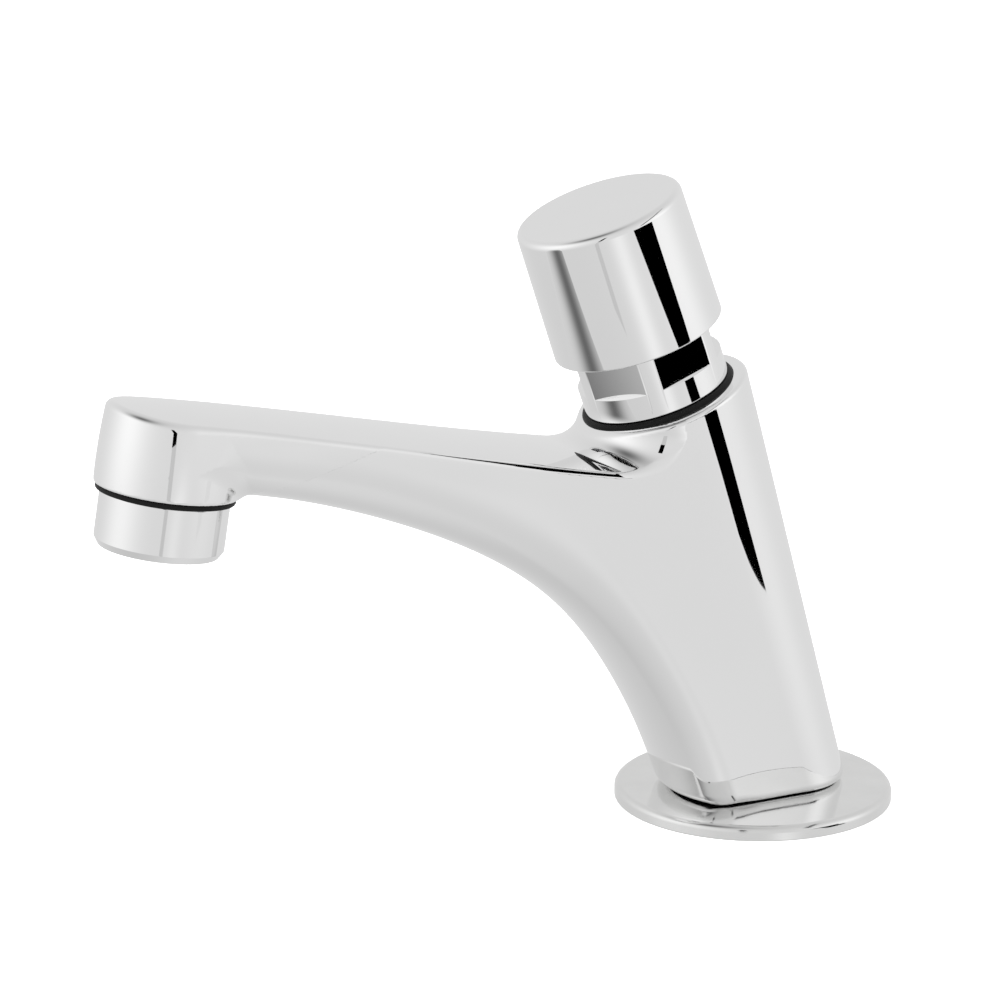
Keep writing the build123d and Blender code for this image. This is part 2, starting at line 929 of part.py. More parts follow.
with BuildPart() as aerator_housing:
    revolve(
        outline(
            outlet_section,
            (thread_radius, 0),
            (housing_radius, 0),
            (housing_radius, housing_chamfer - housing_height),
            (housing_radius - housing_chamfer_in, -housing_height),
            (housing_ledge_radius, -housing_height),
            (housing_ledge_radius, flange_low),
            (thread_radius, flange_low),
        ),
        axis=outlet_axis,
    )
finish(aerator_housing, "aerator_housing")

with BuildPart() as spout_washer:
    revolve(
        band(outlet_section, head_cavity_radius, nose_radius, washer_low, -nose_length),
        axis=outlet_axis,
    )
finish(spout_washer, "spout_washer")

with BuildPart() as aerator_insert:
    revolve(
        outline(
            outlet_section,
            (insert_inner, washer_low),
            (nose_radius, washer_low),
            (nose_radius, flange_low),
            (insert_outer, flange_low),
            (insert_outer, insert_low),
            (0, insert_low),
            (0, grid_top),
            (insert_inner, grid_top),
        ),
        axis=outlet_axis,
    )
    # the outlet grid
    grid_pitch = grid_pitch_share * grid_hole_radius
    with BuildSketch(outlet_plane(insert_low)):
        with HexLocations(grid_pitch / 2, 7, 7):
            Circle(grid_hole_radius)
        Circle(insert_inner - grid_hole_radius, mode=Mode.INTERSECT)
    extrude(amount=insert_grid, mode=Mode.SUBTRACT)
finish(aerator_insert, "aerator_insert")

with BuildPart() as aerator_screen:
    revolve(
        band(outlet_section, 0, insert_inner - seat_gap, grid_top, grid_top + screen_thickness),
        axis=outlet_axis,
    )
finish(aerator_screen, "aerator_screen")

with BuildPart() as flow_regulator:
    regulator_low = grid_top + screen_thickness
    revolve(
        band(
            outlet_section, 0, insert_inner - seat_gap, regulator_low, regulator_low + regulator_thickness
        ),
        axis=outlet_axis,
    )
    # a ring slot round a centre pin, bridged by three ribs
    with BuildSketch(outlet_plane(regulator_low + regulator_thickness)):
        Circle(regulator_slot_radius + regulator_slot_width)
        Circle(regulator_slot_radius, mode=Mode.SUBTRACT)
        with PolarLocations(regulator_slot_radius, 3):
            Rectangle(2 * regulator_slot_width, regulator_pin_radius, mode=Mode.SUBTRACT)
    extrude(amount=-regulator_thickness, mode=Mode.SUBTRACT)
finish(flow_regulator, "flow_regulator")
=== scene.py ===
import json
from math import cos, pi, radians, sin, tan

import bpy
import numpy as np
from mathutils import Matrix, Vector


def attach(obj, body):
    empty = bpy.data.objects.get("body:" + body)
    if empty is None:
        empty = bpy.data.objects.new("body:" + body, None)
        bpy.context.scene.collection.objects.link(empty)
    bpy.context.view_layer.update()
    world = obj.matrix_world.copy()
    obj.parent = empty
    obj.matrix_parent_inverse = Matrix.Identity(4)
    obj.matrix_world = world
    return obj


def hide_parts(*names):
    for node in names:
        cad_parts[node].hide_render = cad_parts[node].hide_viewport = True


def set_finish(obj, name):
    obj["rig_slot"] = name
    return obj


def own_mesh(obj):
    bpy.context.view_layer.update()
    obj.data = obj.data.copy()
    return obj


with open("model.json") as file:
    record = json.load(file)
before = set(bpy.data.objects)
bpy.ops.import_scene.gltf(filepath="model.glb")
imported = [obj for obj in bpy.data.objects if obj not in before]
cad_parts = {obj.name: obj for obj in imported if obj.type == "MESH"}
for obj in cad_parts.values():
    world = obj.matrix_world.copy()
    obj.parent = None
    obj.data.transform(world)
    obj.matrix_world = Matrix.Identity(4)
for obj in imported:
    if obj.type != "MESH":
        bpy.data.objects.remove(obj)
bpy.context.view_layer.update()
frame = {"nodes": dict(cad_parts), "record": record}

nodes = frame["nodes"]
MM = 0.001

# Main dimensions, as in the CAD model
LEAN = radians(19.35)
TILT = radians(9.3)
AXIS_FOOT_Y = 7.5
REACH = 121.4
OUTLET_HEIGHT = 74.9
RIM_LEVEL = 89.1
RIM_RADIUS = 17.7
FOOT_RADIUS = 12.1
COLUMN_SLOPE = (RIM_RADIUS - FOOT_RADIUS) / RIM_LEVEL
FLANGE_RADIUS = 27.5
FLANGE_TOP = 2.9
SEAT_LEVEL = 38.0


# Geometry helpers
def placed(origin, direction):
    """Axes with Z along the direction and X across the tap, and their origin."""
    z = Vector(direction).normalized()
    x = Vector((1, 0, 0))
    return Matrix((x, z.cross(x), z)).transposed(), Vector(origin)


VALVE = placed((0, AXIS_FOOT_Y, 0), (0, -sin(LEAN), cos(LEAN)))
OUTLET = placed((0, -REACH, OUTLET_HEIGHT), (0, sin(TILT), cos(TILT)))
TAIL = placed((0, 0, 0), (0, 0, 1))


def to_row(points, place):
    """Points given about one of the three axes, in the row frame."""
    rotation, origin = place
    return np.asarray(points, float) @ np.array(rotation).T + np.array(origin)


def make_mesh(name, points, faces):
    """An object from points in millimetres."""
    mesh = bpy.data.meshes.new(name)
    mesh.from_pydata((np.asarray(points, float) * MM).tolist(), [], faces)
    mesh.update()
    piece = bpy.data.objects.new(name, mesh)
    bpy.context.scene.collection.objects.link(piece)
    return piece


def rounded(corners, steps=6, support=0.06):
    """An outline from corners (radius, level, rounding), with arcs and a support point beside each."""
    out = []
    count = len(corners)
    for i, (r, level, rounding) in enumerate(corners):
        here = np.array((r, level), float)
        before = np.array(corners[i - 1][:2], float) - here
        after = np.array(corners[(i + 1) % count][:2], float) - here
        if rounding <= 0 or not before.any() or not after.any():
            out.append(here)
            continue
        length_in, length_out = np.linalg.norm(before), np.linalg.norm(after)
        before, after = before / length_in, after / length_out
        half_angle = np.arccos(np.clip(before @ after, -1, 1)) / 2
        run = min(rounding / tan(half_angle), length_in * 0.49, length_out * 0.49)
        radius = run * tan(half_angle)
        centre = here + (before + after) / np.linalg.norm(before + after) * radius / sin(half_angle)
        start, stop = here + before * run - centre, here + after * run - centre
        turn = pi - 2 * half_angle
        edge = min(support, length_in * 0.5 - run) if length_in * 0.5 > run else 0
        if edge > 0:
            out.append(here + before * (run + edge))
        for k in range(steps + 1):
            share = k / steps
            out.append(centre + (sin((1 - share) * turn) * start + sin(share * turn) * stop) / sin(turn))
        edge = min(support, length_out * 0.5 - run) if length_out * 0.5 > run else 0
        if edge > 0:
            out.append(here + after * (run + edge))
    return np.array(out)


def turned(name, corners, place, segments=192, steps=6, reshape=None):
    """A lathe piece round an axis. Its outline is closed, or starts and ends on the axis."""
    outline = rounded(corners, steps)
    angles = np.arange(segments) * 2 * pi / segments
    points, rings = [], []
    for radius, level in outline:
        if radius < 1e-6:
            rings.append([len(points)])
            points.append((0, 0, level))
            continue
        radii = np.full(segments, radius)
        if reshape is not None:
            radii = reshape(radii, level, angles)
        rings.append(list(range(len(points), len(points) + segments)))
        points.extend(zip(radii * np.cos(angles), radii * np.sin(angles), np.full(segments, level)))
    faces = []
    for i, ring in enumerate(rings):
        after = rings[(i + 1) % len(rings)]
        if len(ring) == 1 and len(after) == 1:
            continue
        for k in range(segments):
            n = (k + 1) % segments
            if len(ring) == 1:
                faces.append((ring[0], after[n], after[k]))
            elif len(after) == 1:
                faces.append((ring[k], ring[n], after[0]))
            else:
                faces.append((ring[k], ring[n], after[n], after[k]))
    piece = make_mesh(name, to_row(points, place), faces)
    outward(piece)
    piece.data.shade_smooth()
    piece.data.set_sharp_from_angle(angle=radians(40))
    return piece


def outward(piece):
    """Turns a closed mesh's faces outwards."""
    mesh = piece.data
    corners = np.zeros(len(mesh.vertices) * 3)
    mesh.vertices.foreach_get("co", corners)
    corners = corners.reshape(-1, 3)
    mesh.calc_loop_triangles()
    triangles = np.zeros(len(mesh.loop_triangles) * 3, int)
    mesh.loop_triangles.foreach_get("vertices", triangles)
    a, b, c = (corners[triangles.reshape(-1, 3)[:, k]] for k in range(3))
    volume = np.einsum("ij,ij->", a, np.cross(b, c))
    if volume < 0:
        mesh.flip_normals()


def cut(piece, cutter):
    """Takes the cutter out of the piece and removes the cutter."""
    modifier = piece.modifiers.new("cut", "BOOLEAN")
    modifier.object = cutter
    modifier.operation = "DIFFERENCE"
    modifier.solver = "MANIFOLD"
    baked = bpy.data.meshes.new_from_object(piece.evaluated_get(bpy.context.evaluated_depsgraph_get()))
    piece.modifiers.remove(modifier)
    piece.data = baked
    bpy.data.objects.remove(cutter)


# The cast body, as a field that is negative inside
def round_max(a, b, radius):
    """Both solids' common part, with its edge rounded."""
    radius = np.maximum(radius, 1e-6)
    arc = np.hypot(np.maximum(a + radius, 0), np.maximum(b + radius, 0))
    return np.minimum(np.maximum(a, b), -radius) + arc


def round_min(a, b, radius):
    """Both solids joined, with a fillet."""
    return -round_max(-a, -b, radius)


def smooth_step(value, start, stop):
    """0 before start, 1 after stop and a smooth change between."""
    share = np.clip((value - start) / (stop - start), 0, 1)
    return share**3 * (share * (6 * share - 15) + 10)


def valve_coordinates(y, z):
    """Level along the valve axis, and distance in front of it."""
    level = -(y - AXIS_FOOT_Y) * sin(LEAN) + z * cos(LEAN)
    ahead = -(y - AXIS_FOOT_Y) * cos(LEAN) - z * sin(LEAN)
    return level, ahead


def outlet_coordinates(y, z):
    """Level above the aerator's top along the outlet's axis, and distance in front of that axis."""
    level = (y + REACH) * sin(TILT) + (z - OUTLET_HEIGHT) * cos(TILT)
    ahead = -(y + REACH) * cos(TILT) + (z - OUTLET_HEIGHT) * sin(TILT)
    return level, ahead


# the arch line under the spout, as (y, z) on the centre line
ARCH = np.array((
    (-16.6, -3.0), (-21.1, 9.1), (-24.3, 17.0), (-33.9, 34.0), (-57.0, 55.3), (-73.7, 63.6),
    (-89.9, 69.5), (-109.5, 74.1),
))
ARCH_LEVELS, ARCH_AHEAD = valve_coordinates(ARCH[:, 0], ARCH[:, 1])
ARCH_CURVE = np.polynomial.Polynomial.fit(ARCH_LEVELS, ARCH_AHEAD, 7)
ARCH_SLOPE = ARCH_CURVE.deriv()
ARCH_END = ARCH_LEVELS[-1]
HIDDEN_SLOPE = 1.5

# by level along the arch: curvature of the belly across, and the rounding of its corners
BELLY_LEVELS = (5.0, 27.0, 42.0, 69.4, 84.0, 98.0, 113.0)
BELLY_CURVE = np.polynomial.Polynomial.fit(
    BELLY_LEVELS, (0.044, 0.0377, 0.0323, 0.0418, 0.0585, 0.0645, 0.066), 5
)
CORNER_CURVE = np.polynomial.Polynomial.fit(BELLY_LEVELS, (3.0, 3.7, 4.2, 3.7, 2.6, 2.1, 2.0), 4)
CORNER_FADE = 3.0

# high up the sides the belly's limit lets go, so that it cuts nothing off the column's back
RELEASE_START = 0.7
RELEASE_RATE = 0.06
RELEASE_SPAN = 12.0

# the top of the spout on its centre line, as (y, z)
TOP = np.array((
    (12.0, 71.2), (-39.7, 75.9), (-86.0, 84.8), (-96.3, 86.9), (-133.0, 93.4),
))
TOP_CURVE = np.polynomial.Polynomial.fit(TOP[:, 0], TOP[:, 1], 4)
TOP_CROWN = 70.0
TOP_SLANT = 0.98
TOP_EDGE = 1.0
TOP_EDGE_MORE_AT_HEAD = 0.3
EDGE_FADE = 6.0

# how far the sides draw in ahead of the valve axis: at the deck, and by level and distance ahead
TAPER_AT_DECK = 0.1004
TAPER_BY_LEVEL = -0.0036
TAPER_BY_LEVEL_SQUARED = 0.0000104
TAPER_BY_AHEAD = 0.0011
TAPER_START = 15.0

# the head: a barrel round the outlet's axis, blended into the spout's sides behind it
HEAD_RADIUS = 13.38
HEAD_WIDEST = 4.5
HEAD_BARREL = 0.0045
HEAD_LOW = 1.0
HEAD_EDGE = 0.55
HEAD_FILLET = 2.2
HEAD_BLEND = (-28, -2)

# the pocket between spout and rim: a wall round the column's front, and the sweep up to it
WALL_AHEAD = -2.7
WALL_HALF = 18.2
WALL_DEPTH = 16.8
WALL_POWER = 2.4
SWEEP = 8.0
RIM_REACH = 17.0
RIM_EDGE = 0.9

# the rounding where the body meets the flange, larger at the front
FOOT_EDGE = 2.0
FOOT_EDGE_MORE_AT_FRONT = 0.7


def body_field(points):
    """Roughly the distance to the cast body's surface, negative inside."""
    x = np.abs(points[:, 0])
    y, z = points[:, 1], points[:, 2]
    level, ahead = valve_coordinates(y, z)
    head_level, head_ahead = outlet_coordinates(y, z)

    # the sides: a round back, straight sides and a round head
    forward = np.maximum(ahead, 0)
    draw = TAPER_AT_DECK + TAPER_BY_LEVEL * level + TAPER_BY_AHEAD * forward
    draw = draw + TAPER_BY_LEVEL_SQUARED * level**2
    taper = forward**2 / (forward + TAPER_START) * draw
    head_half = HEAD_RADIUS - HEAD_BARREL * np.clip(head_level - HEAD_WIDEST, -5, 20) ** 2
    half = FOOT_RADIUS + COLUMN_SLOPE * level + taper
    at_head = smooth_step(head_ahead, *HEAD_BLEND)
    half = half * (1 - at_head) + head_half * at_head
    side = np.sqrt(x**2 + np.minimum(ahead, 0) ** 2 + np.maximum(head_ahead, 0) ** 2) - half

    # the belly: bowed across, along the arch line
    along = np.minimum(level, ARCH_END)
    slope = np.where(level < ARCH_END, ARCH_SLOPE(along), HIDDEN_SLOPE)
    arch = ARCH_CURVE(along) + np.maximum(level - ARCH_END, 0) * HIDDEN_SLOPE
    depth = (arch - ahead) / np.sqrt(1 + slope**2)
    bow = 1 / BELLY_CURVE(np.clip(level, 3, 113))
    above = np.clip(depth - RELEASE_START * bow, 0, RELEASE_SPAN)
    belly = np.hypot(x, np.maximum(bow - depth, 0)) - bow - RELEASE_RATE * above**2

    # the head's full cylinder under the spout's end
    head = round_max(np.hypot(x, head_ahead) - head_half, HEAD_LOW - head_level, HEAD_EDGE)
    under = round_min(belly, head, HEAD_FILLET)
    corner = CORNER_CURVE(np.clip(level, 3, 113)) * np.clip((head - belly) / CORNER_FADE, 0, 1)
    solid = round_max(side, under, corner)

    # the top: the spout's crowned top, the pocket's sweep and the column above it
    top = (z - TOP_CURVE(y) + x**2 / (2 * TOP_CROWN)) * TOP_SLANT
    wall_ahead = np.maximum(ahead - WALL_AHEAD, 0) / WALL_DEPTH
    wall = ((x / WALL_HALF) ** WALL_POWER + wall_ahead**WALL_POWER) ** (1 / WALL_POWER)
    wall = (wall - 1) * WALL_DEPTH
    upper = round_min(top, wall, SWEEP)
    top_edge = TOP_EDGE + TOP_EDGE_MORE_AT_HEAD * smooth_step(head_ahead, -8, 3)
    top_edge = top_edge * np.clip((wall - top + EDGE_FADE) / EDGE_FADE, 0, 1)
    solid = round_max(solid, upper, top_edge)
    rim = level - RIM_LEVEL - np.maximum(ahead - RIM_REACH, 0)
    solid = round_max(solid, rim, RIM_EDGE)
    foot_edge = FOOT_EDGE + FOOT_EDGE_MORE_AT_FRONT * smooth_step(ahead, 8, 18)
    return round_max(solid, FLANGE_TOP - z, foot_edge)


def gradient(field, points, step=0.01):
    """The field's gradient by central differences."""
    out = np.empty_like(points)
    for axis in range(3):
        shift = np.zeros(3)
        shift[axis] = step
        out[:, axis] = (field(points + shift) - field(points - shift)) / (2 * step)
    return out


def surface_net(field, low, high, pitch):
    """Points and quads on the field's zero surface, one point to a mixed cell of a grid."""
    axes = [np.arange(a, b + pitch, pitch) for a, b in zip(low, high)]
    shape = tuple(len(axis) for axis in axes)
    value = np.empty(shape)
    across, up = np.meshgrid(axes[1], axes[2], indexing="ij")
    for i, x in enumerate(axes[0]):
        layer = np.stack((np.full(across.size, x), across.ravel(), up.ravel()), 1)
        value[i] = field(layer).reshape(across.shape)
    inside = value < 0
    corners = [(i, j, k) for i in (0, 1) for j in (0, 1) for k in (0, 1)]

    def corner_of(array, offset):
        return array[tuple(slice(o, n - 1 + o) for o, n in zip(offset, shape))]

    count = sum(corner_of(inside, c).astype(int) for c in corners)
    mixed = (count > 0) & (count < 8)
    index = np.full(mixed.shape, -1)
    index[mixed] = np.arange(mixed.sum())
    cells = np.argwhere(mixed)
    total = np.zeros((len(cells), 3))
    hits = np.zeros(len(cells))
    for first in corners:
        for axis in range(3):
            if first[axis]:
                continue
            second = tuple(1 if n == axis else o for n, o in enumerate(first))
            a = corner_of(value, first)[mixed]
            b = corner_of(value, second)[mixed]
            crossing = (a < 0) != (b < 0)
            share = np.where(crossing, a / np.where(crossing, a - b, 1), 0)
            point = cells + np.array(first, float)
            point[:, axis] += share
            total[crossing] += point[crossing]
            hits[crossing] += 1
    points = np.array(low) + total / hits[:, None] * pitch
    quads = []
    for axis in range(3):
        u, v = (axis + 1) % 3, (axis + 2) % 3
        ahead = [slice(None)] * 3
        behind = [slice(None)] * 3
        behind[axis], ahead[axis] = slice(0, -1), slice(1, None)
        a, b = inside[tuple(behind)], inside[tuple(ahead)]
        place = np.argwhere(a != b)
        place = place[(place[:, u] > 0) & (place[:, v] > 0)]
        place = place[(place[:, u] < shape[u] - 1) & (place[:, v] < shape[v] - 1)]
        ring = []
        for du, dv in ((-1, -1), (0, -1), (0, 0), (-1, 0)):
            cell = place.copy()
            cell[:, u] += du
            cell[:, v] += dv
            ring.append(index[tuple(cell.T)])
        quad = np.stack(ring, 1)
        leaving = a[tuple(place.T)]
        quad[~leaving] = quad[~leaving][:, ::-1]
        quads.append(quad)
    return points, np.concatenate(quads)


def settle(field, points, quads, rounds=8):
    """Evens out a net's points and puts them on the surface. The last two rounds only do the latter."""
    pairs = np.concatenate([quads[:, (k, (k + 1) % 4)] for k in range(4)])
    degree = np.bincount(pairs.ravel(), minlength=len(points))
    for turn in range(rounds):
        if turn < rounds - 2:
            mean = np.stack(
                [
                    np.bincount(pairs[:, 0], points[pairs[:, 1], n], len(points))
                    + np.bincount(pairs[:, 1], points[pairs[:, 0], n], len(points))
                    for n in range(3)
                ],
                1,
            ) / degree[:, None]
            points = points + (mean - points) * 0.5
        slope = gradient(field, points)
        size = np.maximum((slope**2).sum(1), 0.2)
        points = points - slope * (field(points) / size)[:, None]
    return points


def smooth_normals(piece, field):
    """Gives the corners on the field's surface its exact normals, and leaves the cut faces alone."""
    mesh = piece.data
    mesh.shade_smooth()
    mesh.set_sharp_from_angle(angle=radians(35))

    def read(items, attribute, width, kind=float):
        values = np.zeros(len(items) * width, kind)
        items.foreach_get(attribute, values)
        return values.reshape(-1, width) if width > 1 else values

    def directions(points):
        slope = gradient(field, points / MM, 0.02)
        return slope / np.linalg.norm(slope, axis=1)[:, None]

    exact = directions(read(mesh.vertices, "co", 3))
    normals = read(mesh.corner_normals, "vector", 3)
    corner_vertex = read(mesh.loops, "vertex_index", 1, int)
    centres = read(mesh.polygons, "center", 3)
    facing = np.einsum("ij,ij->i", directions(centres), read(mesh.polygons, "normal", 3))
    on_surface = (np.abs(field(centres / MM)) < 0.12) & (facing > 0.9)
    corner_on = np.repeat(on_surface, read(mesh.polygons, "loop_total", 1, int))
    normals[corner_on] = exact[corner_vertex[corner_on]]
    mesh.normals_split_custom_set(normals.tolist())


# The grid that the body is made on, the openings in it and the tail's spigot that fills one
BODY_LOW = (-18.45, -137.0, 1.0)
BODY_HIGH = (18.5, 23.0, 96.0)
PITCH = 0.42
BORE_RADIUS = 11.8
BORE_LOW = SEAT_LEVEL - 15
SEAT_BORE = 8.0
BONNET_BORE = 13.25
BONNET_SEAT = RIM_LEVEL - 12
RING_SEAT_RADIUS = 15.1
RING_SEAT = RIM_LEVEL - 1.2
SPIGOT_TOP = FLANGE_TOP + 9.0
SOCKET_RADIUS = 8.5
WATERWAY_RADIUS = 6.5
CAVITY_RADIUS = 8.5
CAVITY_TOP = 8.0


def make_body():
    """The cast body, with its bore, the tail's socket and the outlet's cavity."""
    pitch = PITCH
    points, quads = surface_net(body_field, BODY_LOW, BODY_HIGH, pitch)
    points = settle(body_field, points, quads)
    body = make_mesh("body_shell", points, quads.tolist())
    above_rim, below_head = RIM_LEVEL + 2, -2
    bore = (
        (0, BORE_LOW), (SEAT_BORE, BORE_LOW), (SEAT_BORE, SEAT_LEVEL), (BORE_RADIUS, SEAT_LEVEL),
        (BORE_RADIUS, BONNET_SEAT), (BONNET_BORE, BONNET_SEAT), (BONNET_BORE, RING_SEAT),
        (RING_SEAT_RADIUS, RING_SEAT), (RING_SEAT_RADIUS, above_rim), (0, above_rim),
    )
    cut(body, turned("bore", [(r, h, 0) for r, h in bore], VALVE, 256))
    inlet_top = BORE_LOW * cos(LEAN)
    socket = (
        (0, 0), (SOCKET_RADIUS, 0), (SOCKET_RADIUS, SPIGOT_TOP), (WATERWAY_RADIUS, SPIGOT_TOP),
        (WATERWAY_RADIUS, inlet_top), (0, inlet_top),
    )
    cut(body, turned("socket", [(r, h, 0) for r, h in socket], TAIL, 128))
    cavity = ((0, below_head), (CAVITY_RADIUS, below_head), (CAVITY_RADIUS, CAVITY_TOP), (0, CAVITY_TOP))
    cut(body, turned("cavity", [(r, h, 0) for r, h in cavity], OUTLET, 128))
    smooth_normals(body, body_field)
    return body


body = make_body()
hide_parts("tap_body")
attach(body, "body")
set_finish(body, "cast_chrome")

NOSE_RADIUS = 10.95
NOSE_LOW = -4.6
nose = turned(
    "spout_nose",
    (
        (CAVITY_RADIUS, NOSE_LOW, 0.2), (NOSE_RADIUS, NOSE_LOW, 0.4), (NOSE_RADIUS, HEAD_LOW, 0),
        (CAVITY_RADIUS, HEAD_LOW, 0),
    ),
    OUTLET,
    128,
)
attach(nose, "body")
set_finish(nose, "cast_chrome")

# Turned pieces that show
BUTTON_LEVEL = 102.1
BUTTON_TOP = 128.4
BUTTON_RADIUS = 16.56
BUTTON_TOP_RADIUS = 16.1
BUTTON_CEILING = BUTTON_TOP - 2.2
BUTTON_BORE = 14.96
CEILING_RADIUS = 13.96
INSERT_SEAT = 119.8
RING_GROOVE_RADIUS = 15.31
RING_GROOVE = (116.2, 117.2)
button = turned(
    "button_shell",
    (
        (BUTTON_BORE, BUTTON_LEVEL, 0.25), (BUTTON_RADIUS, BUTTON_LEVEL, 0.35),
        (BUTTON_TOP_RADIUS, BUTTON_TOP, 1.35), (0, BUTTON_TOP, 0), (0, BUTTON_CEILING, 0),
        (CEILING_RADIUS, BUTTON_CEILING, 0.3), (CEILING_RADIUS, INSERT_SEAT, 0),
        (BUTTON_BORE, INSERT_SEAT, 0), (BUTTON_BORE, RING_GROOVE[1], 0),
        (RING_GROOVE_RADIUS, RING_GROOVE[1], 0), (RING_GROOVE_RADIUS, RING_GROOVE[0], 0),
        (BUTTON_BORE, RING_GROOVE[0], 0),
    ),
    VALVE,
    256,
    10,
)
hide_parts("push_button")
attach(button, "plunger")
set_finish(button, "button_chrome")

COLLAR_LEVEL = 89.9
COLLAR_RADIUS = 14.2
FLAT_RADIUS = 12.97
FLAT_LOW = COLLAR_LEVEL + 5.0
FLAT_TOP = COLLAR_LEVEL + 13.5
FLAT_TURN = radians(7.5)
COLLAR_FOOT = 77.2
COLLAR_FOOT_RADIUS = 13.15
COLLAR_FOOT_BORE = 11.35
NECK_RADIUS = 12.9
NECK_TOP = 105.9
CUP_RADIUS = 9.6
CUP_FLOOR = (87.9, 91.9)
STEM_BORE = 4.08


def spanner_flats(radii, level, angles):
    """Cuts six flats into the collar above its round rim."""
    if not FLAT_LOW < level < FLAT_TOP + 0.3:
        return radii
    off = (angles - FLAT_TURN + pi / 6) % (pi / 3) - pi / 6
    return np.minimum(radii, FLAT_RADIUS / np.cos(off))


collar = turned(
    "bonnet_collar",
    (
        (COLLAR_FOOT_BORE, COLLAR_FOOT, 0.2), (COLLAR_FOOT_RADIUS, COLLAR_FOOT, 0.3),
        (COLLAR_FOOT_RADIUS, COLLAR_LEVEL, 0.1), (COLLAR_RADIUS, COLLAR_LEVEL, 0.35),
        (COLLAR_RADIUS, FLAT_LOW, 0), (COLLAR_RADIUS, FLAT_LOW + 0.02, 0), (COLLAR_RADIUS, FLAT_TOP, 0.4),
        (NECK_RADIUS, FLAT_TOP, 0), (NECK_RADIUS, NECK_TOP, 0.4), (CUP_RADIUS, NECK_TOP, 0.3),
        (CUP_RADIUS, CUP_FLOOR[1], 0), (STEM_BORE, CUP_FLOOR[1], 0), (STEM_BORE, CUP_FLOOR[0], 0),
        (COLLAR_FOOT_BORE, CUP_FLOOR[0], 0),
    ),
    VALVE,
    576,
    5,
    spanner_flats,
)
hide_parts("bonnet")
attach(collar, "body")
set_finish(collar, "turned_chrome")


RING_RADIUS = 14.15
RING_WIRE = 0.95
RING_LEVEL = 88.9


def torus(name, ring_radius, wire_radius, level, place, around=24):
    """A round ring of round section."""
    turns = [2 * pi * k / around for k in range(around)]
    corners = [(ring_radius + wire_radius * cos(a), level + wire_radius * sin(a), 0) for a in turns]
    return turned(name, corners, place)


ring = torus("collar_ring", RING_RADIUS, RING_WIRE, RING_LEVEL, VALVE)
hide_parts("bonnet_oring")
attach(ring, "body")
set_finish(ring, "black_rubber")

FLANGE_HOLE = 10.58
FLANGE_CEILING = 2.0
FLANGE_INSIDE = 26.6
flange = turned(
    "deck_flange",
    (
        (FLANGE_HOLE, FLANGE_CEILING, 0), (FLANGE_HOLE, FLANGE_TOP, 0.2),
        (FLANGE_RADIUS, FLANGE_TOP, 1.25), (FLANGE_RADIUS, 0, 0.25), (FLANGE_INSIDE, 0, 0.25),
        (FLANGE_INSIDE, FLANGE_CEILING, 0.3),
    ),
    TAIL,
    256,
    10,
)
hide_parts("base_flange")
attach(flange, "body")
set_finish(flange, "satin_steel")

# The tail, with its thread
SPIGOT_RADIUS = 8.4
GROOVE_RADIUS = 7.2
SPIGOT_GROOVE = (FLANGE_TOP + 3.5, FLANGE_TOP + 5.5)
TAIL_LOW = -52.0
TAIL_END_RADIUS = 9.7
FILTER_LEVEL = TAIL_LOW + 5.0
FILTER_BORE = 8.0
THREAD_RADIUS = 10.48
THREAD_PITCH = 1.814
THREAD_DEPTH = 1.1
THREAD_LOW = -51.2
THREAD_HIGH = -5.0
RUNOUT = (-34.0, -32.5)
RUNOUT_RADIUS = THREAD_RADIUS - 0.6
THREAD_STEP = THREAD_PITCH / 16


def whitworth(radii, level, angles):
    """Winds a round-crested thread on the tail, fading out at both ends, round its run-out groove."""
    near_runout = RUNOUT[0] - 0.1 < level < RUNOUT[1] + 0.1
    if not THREAD_LOW < level < THREAD_HIGH or near_runout or radii[0] < 10:
        return radii
    fade = min(1.0, (level - THREAD_LOW) / THREAD_PITCH, (THREAD_HIGH - level) / THREAD_PITCH)
    wave = 0.5 - 0.5 * np.cos(2 * pi * level / THREAD_PITCH - angles)
    return radii - THREAD_DEPTH * fade * wave


def thread_levels(low, high):
    """Outline points up the tail, close enough for the thread."""
    return [(THREAD_RADIUS, level, 0) for level in np.arange(low, high, THREAD_STEP)]


tail = turned(
    "threaded_tail",
    (
        [(FILTER_BORE, TAIL_LOW, 0), (TAIL_END_RADIUS, TAIL_LOW, 0)]
        + thread_levels(THREAD_LOW, RUNOUT[0])
        + [(RUNOUT_RADIUS, RUNOUT[0], 0), (RUNOUT_RADIUS, RUNOUT[1], 0)]
        + thread_levels(RUNOUT[1] + 0.05, THREAD_HIGH)
        + [
            (THREAD_RADIUS, FLANGE_TOP, 0), (SPIGOT_RADIUS, FLANGE_TOP, 0),
            (SPIGOT_RADIUS, SPIGOT_GROOVE[0], 0), (GROOVE_RADIUS, SPIGOT_GROOVE[0], 0),
            (GROOVE_RADIUS, SPIGOT_GROOVE[1], 0), (SPIGOT_RADIUS, SPIGOT_GROOVE[1], 0),
            (SPIGOT_RADIUS, SPIGOT_TOP, 0), (WATERWAY_RADIUS, SPIGOT_TOP, 0),
            (WATERWAY_RADIUS, FILTER_LEVEL, 0), (FILTER_BORE, FILTER_LEVEL, 0),
        ]
    ),
    TAIL,
    96,
    reshape=whitworth,
)
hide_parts("inlet_shank")
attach(tail, "body")
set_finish(tail, "raw_brass")

